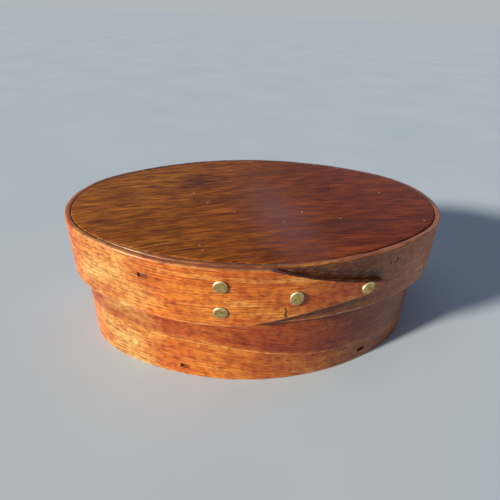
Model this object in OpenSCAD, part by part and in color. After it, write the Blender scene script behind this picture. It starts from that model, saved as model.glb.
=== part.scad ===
// Shaker oval box: a base and a lid of thin bent wood, each lapped with one long finger,
// tacked with brass, and closed with a board that small wooden pegs hold.
// Millimetres. Origin at the centre of the underside, +Z up, the lid's finger faces -Y.

/* [Overall size] */
// Length of the closed box over the lid band
box_length = 140; // [120:1:160]
// Width of the closed box over one layer of the lid band
box_width = 92; // [84:1:104]
// Height of the closed box
box_height = 52; // [48:1:64]

/* [Bands] */
// Height of the lid band
lid_band_h = 21.6; // [20:0.2:24]
// Thickness of the lid band
lid_band_t = 1.9; // [1.4:0.1:2.2]
// Thickness of the base band
base_band_t = 1.4; // [1.2:0.1:2]
// Thickness of a band's inner end, which is planed to a feather
feather_t = 0.1; // [0.05:0.05:0.3]

/* [Boards] */
// Thickness of the lid board
lid_board_t = 8; // [7.5:0.5:9]
// Thickness of the base board
base_board_t = 8; // [6.5:0.5:9]

/* [Finger laps] */
// Distance along the band from the middle of the lap to the tip of the finger
finger_reach = 38.5; // [36:0.5:40]
// Radius of the finger's rounded tip
finger_tip_r = 1.9; // [1.6:0.1:2.4]
// Place where the finger's upper edge leaves the edge of the band
finger_top_root = -2; // [-5:0.5:2]
// Place where the finger's lower edge leaves the edge of the band
finger_low_root = -9.5; // [-12:0.5:-4]
// Place where the lap starts to climb over the inner end of the band
climb_start = -70; // [-74:0.5:-64]
// Place where the lap lies flat on the inner end of the band
climb_end = -25; // [-30:0.5:-22]
// Height of the lid finger's tip above the lower edge of the lid band
lid_finger_rise = 9.6; // [8:0.1:11]
// Depth of the base finger's tip below the lower edge of the lid band
base_finger_drop = 11.4; // [10:0.1:13]

/* [Brass tacks] */
// Diameter of a tack head
head_d = 4.6; // [3.6:0.1:5]
// Thickness of a tack head
head_t = 0.7; // [0.5:0.1:0.9]
// Width of the bevel round a tack head
head_bevel = 0.45; // [0.2:0.05:0.6]
// Diameter of a tack shank
shank_d = 1.3; // [1:0.1:1.5]
// Length of the point that is folded over inside
clinch_len = 2.8; // [2:0.1:3.5]
// Height of the line of tacks above the finger's tip
tack_lift = 1.1; // [0.5:0.1:1.4]
// Place of the pair of tacks along the band
tack_pair_at = -16.5; // [-19:0.1:-14]
// Distance between the two tacks of the lid's pair
lid_pair_gap = 9.6; // [8:0.1:11]
// Distance between the two tacks of the base's pair
base_pair_gap = 12; // [9:0.5:13]
// Place of the middle tack along the band
tack_middle_at = 5.9; // [3:0.1:12]
// How much higher the middle tack sits than the line of tacks
tack_middle_rise = 0.6; // [0:0.1:1]
// Place of the last tack, near the finger's tip
tack_tip_at = 30; // [27:0.1:32]

/* [Wooden pegs] */
// Width of a peg along the band
peg_w = 3.2; // [2:0.1:4]
// Height of a peg
peg_h = 1.4; // [1:0.1:2]
// Length of a peg
peg_len = 8; // [6:0.5:10]
// How far a peg lies below the surface of the band
peg_recess = 0.2; // [0:0.05:0.4]
// Depth of the lid's line of pegs below the top of the box
lid_peg_drop = 5.9; // [4:0.1:6]
// How far the lid's pegs stray below and above their line, by turns
lid_peg_stray = 0.7; // [0:0.1:0.8]
// Height of the base's pegs above the underside
base_peg_rise = 4.4; // [3:0.1:5]
// Half the distance between the lid's two front pegs
lid_peg_half = 41.1; // [40:0.1:46]
// Sideways shift of the lid's two front pegs
lid_peg_shift = 0.7; // [0:0.1:4]
// Half the distance between the base's two front pegs
base_peg_half = 34.1; // [32:0.1:37]
// Sideways shift of the base's two front pegs
base_peg_shift = 4.8; // [0:0.1:8]

/* [Fits] */
// Clearance between the lid band and the lap of the base band
lid_play = 0.25; // [0.2:0.05:0.5]
// Gap between the two layers of a lap
lap_gap = 0.2; // [0.1:0.05:0.3]
// Gap between a board and its band
board_gap = 0.2; // [0.1:0.05:0.3]
// Gap under the lid board, where it rests on the base band
seat_gap = 0.05; // [0.05:0.05:0.2]
// Gap round a peg in its slot through the band
slot_gap = 0.15; // [0.1:0.05:0.25]
// Gap round a peg in its socket, and round the shank of a tack
snug_gap = 0.05; // [0.05:0.05:0.1]

/* [Hidden] */

$fn = 48;
peg_count = 6;
tack_count = 4;
// Overshoot that lets a cut run clear of a face
over = 1;

// Four-centre oval on the 3-4-5 triangle: two side arcs and two end arcs that meet tangent
oval_unit = (box_length - box_width) / 4;
end_x = 3 * oval_unit;
side_y = 4 * oval_unit;
end_r = box_length / 2 - end_x;
side_r = end_r + 5 * oval_unit;
side_angle = atan(3 / 4);
// Turn from one facet of a bend to the next
bend_step = 2.5;

// Faces of the bands, as offsets from the oval over one layer of the lid band
lid_face = 0;
base_face = -(lid_band_t + lid_play + lap_gap + base_band_t);

lid_low = box_height - lid_band_h;
lid_board_low = box_height - lid_board_t;
base_band_h = lid_board_low - seat_gap;
base_finger_rise = lid_low - base_finger_drop;

// Shares of the way, along and up, at which a finger's edge is steered: near its root
// and near its tip
top_edge_pulls = [[0.25, 0.32], [0.65, 0.7]];
low_edge_pulls = [[0.22, 0.38], [0.62, 0.95]];
// Steps along one edge of a finger
edge_steps = 12;
// Clear space between a folded tack point and the curved face that it lies on
clinch_gap = 0.1;
// Width of a tack's point
point_d = 0.4;

band_wood = [0.72, 0.36, 0.15];
board_wood = [0.44, 0.19, 0.09];
peg_wood = [0.36, 0.20, 0.10];
brass = [0.72, 0.65, 0.38];

// ---- The bend ----

// A turn t is the direction that the band faces, in degrees from the middle of its lap
function wrap(t) = (t + 540) % 360 - 180;
function on_side(t) = abs(wrap(t)) <= side_angle || abs(wrap(t)) >= 180 - side_angle;
function arc_centre(t) =
    !on_side(t) ? [sign(wrap(t)) * end_x, 0] :
    [0, abs(wrap(t)) < 90 ? side_y : -side_y];
function arc_radius(t) = on_side(t) ? side_r : end_r;

// Point of the oval at turn t, moved outward by offset
function bend_point(t, offset) =
    arc_centre(t) + (arc_radius(t) + offset) * [sin(t), -cos(t)];

// Length along the bend of one side arc's half, and of a quarter of the oval
function side_len(offset) = (side_r + offset) * side_angle * PI / 180;
function quarter_len(offset) = side_len(offset) + (end_r + offset) * (90 - side_angle) * PI / 180;

// Turn at a distance s along the bend, up to half way round, and the distance at a turn
function turn_at(s, offset) =
    abs(s) <= side_len(offset) ? s / (side_r + offset) * 180 / PI :
    abs(s) > quarter_len(offset) ? sign(s) * (180 - turn_at(2 * quarter_len(offset) - abs(s), offset)) :
    sign(s) * (side_angle + (abs(s) - side_len(offset)) / (end_r + offset) * 180 / PI);
function reach_at(t, offset) =
    abs(t) <= side_angle ? (side_r + offset) * t * PI / 180 :
    sign(t) * (side_len(offset) + (end_r + offset) * (abs(t) - side_angle) * PI / 180);

// Puts children at turn t, where -Y points straight out of the band
module on_bend(t, offset, z) {
    spot = bend_point(t, offset);
    translate([spot.x, spot.y, z])
        rotate([0, 0, t])
            children();
}

// ---- A band: one strip of wood bent round until it laps over its own inner end ----

function ease(u) = u <= 0 ? 0 : u >= 1 ? 1 : u * u * (3 - 2 * u);
function unease(y) = 0.5 - sin(asin(1 - 2 * y) / 3);

// How far the lap has climbed over the inner end at turn t: 0 before it, 1 on top of it
function climb(t, face) = ease((reach_at(t, face) - climb_start) / (climb_end - climb_start));

// Offsets of the strip's two faces. The strip starts with its feathered end, at a turn
// below 0, and ends with the lap, at turns above 180.
function inner_face(t, face, thick) =
    face - thick + (t > 180 ? (thick + lap_gap) * climb(t - 360, face) : 0);
function outer_face(t, face, thick) =
    t > 180 ? inner_face(t, face, thick) + thick : inner_face(t + 360, face, thick) - lap_gap;

// Offset of the surface that shows at turn t, where the lap covers the left side
function skin(t, face, thick) =
    wrap(t) < 0 ? outer_face(wrap(t) + 360, face, thick) : face;

module bent_strip(face, thick, height) {
    feather_at = climb_start
        + unease((lap_gap + feather_t) / (lap_gap + thick)) * (climb_end - climb_start);
    first = turn_at(feather_at, face);
    last = turn_at(finger_reach, face) + 360;
    steps = ceil((last - first) / bend_step);
    outside = [for (i = [0 : steps]) let (t = first + i * bend_step)
        bend_point(t, outer_face(t, face, thick))];
    inside = [for (i = [steps : -1 : 0]) let (t = first + i * bend_step)
        bend_point(t, inner_face(t, face, thick))];
    linear_extrude(height)
        polygon(concat(outside, inside));
}

// Curve of a finger's edge from its root to its tip, seen flat
function edge_curve(root, tip, pulls) = [for (i = [0 : edge_steps]) let (
        u = i / edge_steps,
        a = root + [pulls[0].x * (tip - root).x, pulls[0].y * (tip - root).y],
        b = root + [pulls[1].x * (tip - root).x, pulls[1].y * (tip - root).y])
    pow(1 - u, 3) * root + 3 * pow(1 - u, 2) * u * a + 3 * (1 - u) * u * u * b + pow(u, 3) * tip];
function reversed(list) = [for (i = [len(list) - 1 : -1 : 0]) list[i]];

// Outline of the finger, distance along the band by height, with the band left of it
function finger_outline(height, rise) = let (
        tip = [finger_reach - finger_tip_r, rise])
    concat(
        [[2 * climb_end, -2 * over], [finger_low_root, -2 * over]],
        edge_curve([finger_low_root, 0], tip - [0, finger_tip_r], low_edge_pulls),
        [for (a = [-75 : 15 : 75]) tip + finger_tip_r * [cos(a), sin(a)]],
        reversed(edge_curve([finger_top_root, height], tip + [0, finger_tip_r], top_edge_pulls)),
        [[finger_top_root, height + 2 * over], [2 * climb_end, height + 2 * over]]);

// What is cut from the outer layer to leave its finger. It stays clear of the inner layer.
module finger_waste(face, thick, height, rise) {
    outer_r = side_r + face + lap_gap + thick;
    flat = [for (p = finger_outline(height, rise)) [outer_r * sin(p.x / outer_r * 180 / PI), p.y]];
    from = turn_at(finger_low_root - over, face);
    to = turn_at(finger_reach, face) + 2 * bend_step;
    intersection() {
        translate([0, 0, -over])
            linear_extrude(height + 2 * over)
                polygon(concat(
                    [for (i = [0 : 12]) bend_point(from + (to - from) * i / 12, face + lap_gap / 2)],
                    [for (i = [12 : -1 : 0]) bend_point(from + (to - from) * i / 12, face + thick + 2 * over)]));
        rotate([90, 0, 0])
            linear_extrude(box_width)
                difference() {
                    translate([2 * climb_end + over, -over])
                        square([2 * box_width, height + 2 * over]);
                    polygon(flat);
                }
    }
}

// ---- Tacks ----

// Distance along the band and height of each tack: a pair, then one, then one at the tip
function tack_spots(rise, pair_gap) = let (line = rise + tack_lift) [
    [tack_pair_at, line + pair_gap / 2],
    [tack_pair_at, line - pair_gap / 2],
    [tack_middle_at, line + tack_middle_rise],
    [tack_tip_at, line]
];

// Brass tack, driven towards +Y from a head that lies on the XZ plane
module tack(lap_t, folded) {
    color(brass)
        union() {
            rotate([90, 0, 0])
                rotate_extrude()
                    polygon([[0, 0], [head_d / 2, 0], [head_d / 2, head_t - head_bevel],
                        [head_d / 2 - head_bevel, head_t], [0, head_t]]);
            leaf_at = lap_t + clinch_gap + shank_d / 2;
            translate([0, -head_t / 2, 0])
                rotate([-90, 0, 0])
                    cylinder(d = shank_d, h = leaf_at + head_t / 2);
            translate([0, leaf_at, 0])
                if (folded) {
                    sphere(d = shank_d);
                    rotate([0, 90, 0])
                        cylinder(d1 = shank_d, d2 = point_d, h = clinch_len);
                } else {
                    rotate([-90, 0, 0])
                        cylinder(d1 = shank_d, d2 = point_d, h = clinch_len);
                }
        }
}

// Hole for a tack, through both layers of a lap
module tack_hole(t, face, thick, z)
    on_bend(t, face, z)
        rotate([90, 0, 0])
            cylinder(d = shank_d + 2 * snug_gap, h = 2 * (thick + lap_gap + over), center = true);

// ---- Pegs ----

// Distance along the bend of peg i: two at the front, and the rest evenly round the back
function peg_reach(i, middle, half, offset) = let (
        round_len = 4 * quarter_len(offset),
        s = i == 1 ? middle - half : middle + half + (i - 2) * (round_len - 2 * half) / (peg_count - 1))
    s > round_len / 2 ? s - round_len : s;
function lid_peg_turn(i) = turn_at(peg_reach(i, lid_peg_shift, lid_peg_half, lid_face), lid_face);
function lid_peg_z(i) = box_height - lid_peg_drop + (i % 2 == 0 ? lid_peg_stray : -lid_peg_stray);
function base_peg_turn(i) =
    wrap(turn_at(peg_reach(i, base_peg_shift, base_peg_half, base_face), base_face) + 180);

// Square peg that points inward, +Y, from the surface of the band, grown by gap
module peg(grow_w, grow_in)
    translate([-peg_w / 2 - grow_w, peg_recess, -peg_h / 2 - grow_w])
        cube([peg_w + 2 * grow_w, peg_len + grow_in, peg_h + 2 * grow_w]);

// Slot for a peg through a band, and the blind socket for its end in a board
module peg_slot(t, face, thick, z)
    on_bend(t, face, z)
        cube([peg_w + 2 * slot_gap, 2 * (2 * thick + over), peg_h + 2 * slot_gap], center = true);
module peg_socket(t, face, thick, z)
    on_bend(t, skin(t, face, thick), z)
        peg(snug_gap, snug_gap);

// ---- Sub-parts, each drawn with the middle of its lap facing -Y ----

module oval_board(offset, thickness)
    linear_extrude(thickness)
        polygon([for (t = [0 : bend_step : 360 - bend_step]) bend_point(t, offset)]);

module lapped_band(face, thick, height, rise, pair_gap)
    difference() {
        bent_strip(face, thick, height);
        finger_waste(face, thick, height, rise);
        for (spot = tack_spots(rise, pair_gap))
            tack_hole(turn_at(spot.x, face), face, thick, spot.y);
    }

module lap_tack(i, face, thick, rise, pair_gap, folded) {
    spot = tack_spots(rise, pair_gap)[i - 1];
    on_bend(turn_at(spot.x, face), face + lap_gap + thick, spot.y)
        tack(2 * thick + lap_gap, folded);
}

// The base is turned half round, so that its lap lies at the back, away from the lid's
module base_turned() rotate([0, 0, 180]) children();

module base_board()
    color(board_wood)
        base_turned()
            difference() {
                oval_board(base_face - base_band_t - board_gap, base_board_t);
                for (i = [1 : peg_count])
                    peg_socket(base_peg_turn(i), base_face, base_band_t, base_peg_rise);
            }

module base_band()
    color(band_wood)
        base_turned()
            difference() {
                lapped_band(base_face, base_band_t, base_band_h, base_finger_rise, base_pair_gap);
                for (i = [1 : peg_count])
                    peg_slot(base_peg_turn(i), base_face, base_band_t, base_peg_rise);
            }

module base_peg(i)
    color(peg_wood)
        base_turned()
            on_bend(base_peg_turn(i), skin(base_peg_turn(i), base_face, base_band_t), base_peg_rise)
                peg(0, 0);

module base_tack(i)
    base_turned()
        lap_tack(i, base_face, base_band_t, base_finger_rise, base_pair_gap, true);

// The lid's upper tack is level with the board, so its point is driven into the board's edge
function meets_board(i) =
    lid_low + tack_spots(lid_finger_rise, lid_pair_gap)[i - 1].y + shank_d / 2 > lid_board_low;

module lid_board()
    color(board_wood)
        difference() {
            translate([0, 0, lid_board_low])
                oval_board(lid_face - lid_band_t - board_gap, lid_board_t);
            for (i = [1 : peg_count])
                peg_socket(lid_peg_turn(i), lid_face, lid_band_t, lid_peg_z(i));
            for (i = [1 : tack_count])
                if (meets_board(i))
                    lid_tack_socket(i);
        }

module lid_tack_socket(i) {
    spot = tack_spots(lid_finger_rise, lid_pair_gap)[i - 1];
    reach = lap_gap + 2 * lid_band_t + clinch_gap + shank_d / 2 + clinch_len + snug_gap;
    on_bend(turn_at(spot.x, lid_face), lid_face + lap_gap + lid_band_t, lid_low + spot.y)
        rotate([-90, 0, 0])
            cylinder(d = shank_d + 2 * snug_gap, h = reach);
}

module lid_band()
    color(band_wood)
        difference() {
            translate([0, 0, lid_low])
                lapped_band(lid_face, lid_band_t, lid_band_h, lid_finger_rise, lid_pair_gap);
            for (i = [1 : peg_count])
                peg_slot(lid_peg_turn(i), lid_face, lid_band_t, lid_peg_z(i));
        }

module lid_peg(i)
    color(peg_wood)
        on_bend(lid_peg_turn(i), skin(lid_peg_turn(i), lid_face, lid_band_t), lid_peg_z(i))
            peg(0, 0);

module lid_tack(i)
    translate([0, 0, lid_low])
        lap_tack(i, lid_face, lid_band_t, lid_finger_rise, lid_pair_gap, !meets_board(i));

base_board();
base_band();
for (i = [1 : peg_count])
    base_peg(i);
for (i = [1 : tack_count])
    base_tack(i);
lid_board();
lid_band();
for (i = [1 : peg_count])
    lid_peg(i);
for (i = [1 : tack_count])
    lid_tack(i);
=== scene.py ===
import math

import bmesh
import bpy
from mathutils import Matrix, Vector, noise


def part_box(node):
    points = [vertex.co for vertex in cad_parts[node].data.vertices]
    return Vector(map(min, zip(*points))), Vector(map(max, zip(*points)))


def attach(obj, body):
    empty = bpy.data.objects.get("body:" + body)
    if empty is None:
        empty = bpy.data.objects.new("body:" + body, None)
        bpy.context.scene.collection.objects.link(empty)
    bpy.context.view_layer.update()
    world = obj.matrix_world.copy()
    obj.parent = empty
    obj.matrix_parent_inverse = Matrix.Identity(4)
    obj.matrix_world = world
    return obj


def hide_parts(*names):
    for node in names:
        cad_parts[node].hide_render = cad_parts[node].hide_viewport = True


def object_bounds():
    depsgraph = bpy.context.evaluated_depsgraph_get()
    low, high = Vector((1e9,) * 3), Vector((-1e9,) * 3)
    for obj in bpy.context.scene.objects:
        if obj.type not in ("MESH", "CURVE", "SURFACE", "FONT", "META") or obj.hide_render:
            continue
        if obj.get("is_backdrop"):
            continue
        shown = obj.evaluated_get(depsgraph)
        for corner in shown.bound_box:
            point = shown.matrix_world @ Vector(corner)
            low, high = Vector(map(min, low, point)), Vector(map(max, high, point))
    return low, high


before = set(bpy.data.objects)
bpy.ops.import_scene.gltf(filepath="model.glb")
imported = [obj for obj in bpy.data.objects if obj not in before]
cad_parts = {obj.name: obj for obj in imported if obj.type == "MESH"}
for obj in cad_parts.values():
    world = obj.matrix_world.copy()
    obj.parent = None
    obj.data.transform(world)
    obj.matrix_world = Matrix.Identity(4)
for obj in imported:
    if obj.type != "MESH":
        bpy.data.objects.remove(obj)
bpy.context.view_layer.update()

# ---- Camera ----
# A hand-held camera with a wide lens, low and close over the table and a little to the left
# of the box's middle. It looks down at the lid, and isn't quite level.
CAMERA_LENS_MM, CAMERA_SENSOR_MM = 29.33, 36
CAMERA_TURN = math.radians(7.69)
CAMERA_TILT = math.radians(31.49)
CAMERA_ROLL = math.radians(2.56)
CAMERA_ASIDE, CAMERA_UP, CAMERA_BACK = -0.0022, 0.0249, 0.1834

camera = bpy.data.objects.new("camera", bpy.data.cameras.new("camera"))
bpy.context.scene.collection.objects.link(camera)
camera.data.sensor_width = CAMERA_SENSOR_MM
camera.data.lens = CAMERA_LENS_MM
camera.data.clip_start = 0.005
camera.matrix_world = (
    Matrix.Rotation(-CAMERA_TURN, 4, "Z")
    @ Matrix.Rotation(math.pi / 2 - CAMERA_TILT, 4, "X")
    @ Matrix.Translation((CAMERA_ASIDE, CAMERA_UP, CAMERA_BACK))
    @ Matrix.Rotation(CAMERA_ROLL, 4, "Z")
)
bpy.context.scene.camera = camera
bpy.context.scene.view_settings.view_transform = "Standard"

# ---- Table and light ----
# A smooth pale table top that takes the box's shadow. The main light comes low from the
# left, as through a window, and weak broad ones light the top and the back of the box.
FLOOR_SIZE = 8.0
ROOM_COLOUR, BACKDROP_COLOUR = "#aac1ea", "#d3dbe0"
ROOM_LEVEL, BACKDROP_LEVEL = 0.1, 0.68
# For each lamp: its colour, its width, azimuth and height in degrees, and its level
LAMPS = [
    ("window", "#fff7ec", 6, -67, 20, 1.85),
    ("ceiling", "#e2ecff", 60, -70, 70, 0.15),
    ("sky", "#b3b8f0", 30, 150, 35, 0.05),
]


def linear(colour):
    """An sRGB hex colour as linear RGBA."""
    parts = [int(colour[i:i + 2], 16) / 255 for i in (1, 3, 5)]
    return [p / 12.92 if p <= 0.04045 else ((p + 0.055) / 1.055) ** 2.4 for p in parts] + [1]


def add(tree, kind, inputs=None, ramp=None, **settings):
    """Adds a shader node. An input is a value, or a socket to link from; a ramp is a list of
    positions and colours."""
    made = tree.nodes.new("ShaderNode" + kind)
    for key, value in settings.items():
        setattr(made, key, value)
    for key, value in (inputs or {}).items():
        if isinstance(value, bpy.types.NodeSocket):
            tree.links.new(value, made.inputs[key])
        else:
            made.inputs[key].default_value = value
    for i, (position, colour) in enumerate(ramp or []):
        stops = made.color_ramp.elements
        stop = stops[i] if i < 2 else stops.new(position)
        stop.position = position
        stop.color = linear(colour)
    return made


def new_material(name):
    """An empty node material: itself, its tree and its output."""
    material = bpy.data.materials.new(name)
    material.use_nodes = True
    material.node_tree.nodes.clear()
    return material, material.node_tree, add(material.node_tree, "OutputMaterial")


def new_piece(name, vertices, faces, material, smooth_below=40, **values):
    """A mesh object in the row frame with outward faces, and with a value or a place kept for
    each of its points. Edges sharper than an angle stay sharp."""
    mesh = bpy.data.meshes.new(name)
    mesh.from_pydata([tuple(v) for v in vertices], [], faces)
    made = bmesh.new()
    made.from_mesh(mesh)
    bmesh.ops.recalc_face_normals(made, faces=made.faces)
    made.to_mesh(mesh)
    made.free()
    mesh.shade_smooth()
    mesh.set_sharp_from_angle(angle=math.radians(smooth_below))
    mesh.materials.append(material)
    for key, items in values.items():
        placed = isinstance(items[0], tuple)
        layer = mesh.attributes.new(key, "FLOAT_VECTOR" if placed else "FLOAT", "POINT")
        flat = [v for item in items for v in item] if placed else items
        layer.data.foreach_set("vector" if placed else "value", flat)
    piece = bpy.data.objects.new(name, mesh)
    bpy.context.scene.collection.objects.link(piece)
    return piece


def honed_stone():
    """Honed pale stone: an even grey-white with faint clouds about 80 mm across, and hardly any
    gloss."""
    material, tree, out = new_material("honed_stone")
    place = add(tree, "TexCoord").outputs["Object"]
    cloud = add(tree, "TexNoise", {"Vector": place, "Scale": 12.0, "Detail": 5.0})
    tint = add(tree, "ValToRGB", {"Fac": cloud.outputs["Fac"]},
               ramp=[(0.3, "#b9c6cd"), (0.7, "#c1cdd3")])
    stone = add(tree, "BsdfPrincipled", {
        "Base Color": tint.outputs["Color"], "Roughness": 0.8, "Specular IOR Level": 0.2})
    tree.links.new(stone.outputs["BSDF"], out.inputs["Surface"])
    return material


half = FLOOR_SIZE / 2
floor = new_piece(
    "table", [(-half, -half, 0), (half, -half, 0), (half, half, 0), (-half, half, 0)],
    [(0, 1, 2, 3)], honed_stone())
floor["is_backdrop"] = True

# The room lights the box weakly. The eye, and what mirrors it, sees a pale backdrop.
room = bpy.data.worlds.new("room")
room.use_nodes = True
tree = room.node_tree
tree.nodes.clear()
dim = add(tree, "Background", {"Color": linear(ROOM_COLOUR), "Strength": ROOM_LEVEL})
pale = add(tree, "Background", {"Color": linear(BACKDROP_COLOUR), "Strength": BACKDROP_LEVEL})
ray = add(tree, "LightPath")
seen = add(tree, "Math", {0: ray.outputs["Is Camera Ray"], 1: ray.outputs["Is Glossy Ray"]},
           operation="MAXIMUM")
seen = add(tree, "Math", {0: seen.outputs["Value"], 1: ray.outputs["Is Transmission Ray"]},
           operation="MAXIMUM")
both = add(tree, "MixShader", {
    0: seen.outputs["Value"], 1: dim.outputs["Background"], 2: pale.outputs["Background"]})
add(tree, "OutputWorld", {"Surface": both.outputs["Shader"]})
bpy.context.scene.world = room

for name, colour, width, azimuth, height, level in LAMPS:
    lamp = bpy.data.objects.new(name, bpy.data.lights.new(name, "SUN"))
    bpy.context.scene.collection.objects.link(lamp)
    lamp.data.angle = math.radians(width)
    lamp.data.color = linear(colour)[:3]
    # A level of 1 shows a matt surface that faces the lamp in its own colour
    lamp.data.energy = level * math.pi
    lamp.matrix_world = (
        Matrix.Rotation(math.radians(azimuth), 4, "Z")
        @ Matrix.Rotation(math.radians(90 - height), 4, "X")
    )

# ---- Base board ----
# The bottom of the box: a mahogany plank, sawn and pared to an oval, planed flat and pushed
# into the band. Its outline is four arcs that meet tangent.
MM = 0.001
BOX_LENGTH, BOX_WIDTH = 140 * MM, 92 * MM
OVAL_UNIT = (BOX_LENGTH - BOX_WIDTH) / 4
END_X, SIDE_Y = 3 * OVAL_UNIT, 4 * OVAL_UNIT
END_R = BOX_LENGTH / 2 - END_X
SIDE_R = END_R + 5 * OVAL_UNIT
SIDE_ANGLE = math.atan2(3, 4)
LID_BAND_T, BASE_BAND_T = 1.9 * MM, 1.4 * MM
LID_PLAY, LAP_GAP, BOARD_GAP = 0.25 * MM, 0.2 * MM, 0.2 * MM
BASE_FACE = -(LID_BAND_T + LID_PLAY + LAP_GAP + BASE_BAND_T)
BOARD_ARRIS_R = 0.45 * MM
# Shares of the way from the board's middle to its edge, at which its mesh has rings
BOARD_RINGS = [0.12 * i for i in range(1, 8)] + [0.92, 0.97]
BOARD_ROUND = 180
# How deep the plane's last strokes lie, and how long and how wide they are
STROKE_DEEP, STROKE_LONG, STROKE_WIDE = 0.06 * MM, 45 * MM, 9 * MM
# How far the grain bends sideways, and how far apart the pale nicks lie
GRAIN_BEND, NICK_SPACING = 2 * MM, 9 * MM
# How ragged a dark cloud is, how far out it begins and is full, and how strong it is there
CLOUD_RAGGED, CLOUD_FROM, CLOUD_FULL, CLOUD_STRENGTH = 1.6, 1.9, 0.7, 0.85


def bend_point(turn, offset):
    """Point of the oval at a turn, in radians from the lap's middle, moved out by offset."""
    turn = (turn + math.pi) % (2 * math.pi) - math.pi
    if abs(turn) <= SIDE_ANGLE:
        x, y, radius = 0, SIDE_Y, SIDE_R
    elif abs(turn) >= math.pi - SIDE_ANGLE:
        x, y, radius = 0, -SIDE_Y, SIDE_R
    else:
        x, y, radius = math.copysign(END_X, turn), 0, END_R
    return x + (radius + offset) * math.sin(turn), y - (radius + offset) * math.cos(turn)


def wander(*place):
    """Smooth noise from -1 to 1."""
    return noise.noise(Vector(place))


def board(name, offset, low, high, material):
    """An oval board with rounded arrises and a faintly uneven, hand-planed face."""
    vertices = [(0, 0, low), (0, 0, high)]
    arcs = [(BOARD_ARRIS_R * (1 - math.sin(a)), BOARD_ARRIS_R * (1 - math.cos(a)))
            for a in (math.radians(15 * i) for i in range(7))]
    profile = [(share, 0, low) for share in BOARD_RINGS]
    profile += [(1, inward, low + up) for up, inward in reversed(arcs)]
    profile += [(1, inward, high - up) for up, inward in arcs]
    profile += [(share, 0, high) for share in reversed(BOARD_RINGS)]
    for share, inward, z in profile:
        for i in range(BOARD_ROUND):
            x, y = bend_point(2 * math.pi * i / BOARD_ROUND, offset - inward)
            stroke = wander(share * x / STROKE_LONG, share * y / STROKE_WIDE, z * 200)
            sink = STROKE_DEEP * (0.5 + 0.5 * stroke)
            vertices.append((share * x, share * y, z - sink if z > (low + high) / 2 else z + sink))
    faces = []
    for j in range(len(profile) - 1):
        for i in range(BOARD_ROUND):
            k = (i + 1) % BOARD_ROUND
            at = 2 + j * BOARD_ROUND
            faces.append((at + i, at + k, at + BOARD_ROUND + k, at + BOARD_ROUND + i))
    last = 2 + (len(profile) - 1) * BOARD_ROUND
    for i in range(BOARD_ROUND):
        k = (i + 1) % BOARD_ROUND
        faces += [(0, 2 + k, 2 + i), (1, last + i, last + k)]
    return new_piece(name, vertices, faces, material)


def figured(tree, vector, figure):
    """Noises stretched along the grain. For each: its length and width in millimetres, and its
    detail."""
    drawn = {}
    for key, (long, wide, detail) in figure.items():
        scaled = add(tree, "Mapping", {
            "Vector": vector, "Scale": (1 / (long * MM), 1 / (wide * MM), 1 / (wide * MM))})
        drawn[key] = add(tree, "TexNoise", {
            "Vector": scaled.outputs["Vector"], "Scale": 1.0, "Detail": detail}).outputs["Fac"]
    return drawn


def darkened(tree, colour, drawn, shades):
    """A colour darkened by parts of the figure. For each: the values of its noise at which it
    is full and gone, and what it multiplies the colour by."""
    for key, full, gone, dark in shades:
        shade = add(tree, "ValToRGB", {"Fac": drawn[key]}, ramp=[(full, dark), (gone, "#ffffff")])
        colour = add(tree, "MixRGB", {
            "Fac": 1.0, "Color1": colour, "Color2": shade.outputs["Color"]},
            blend_type="MULTIPLY").outputs["Color"]
    return colour


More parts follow.
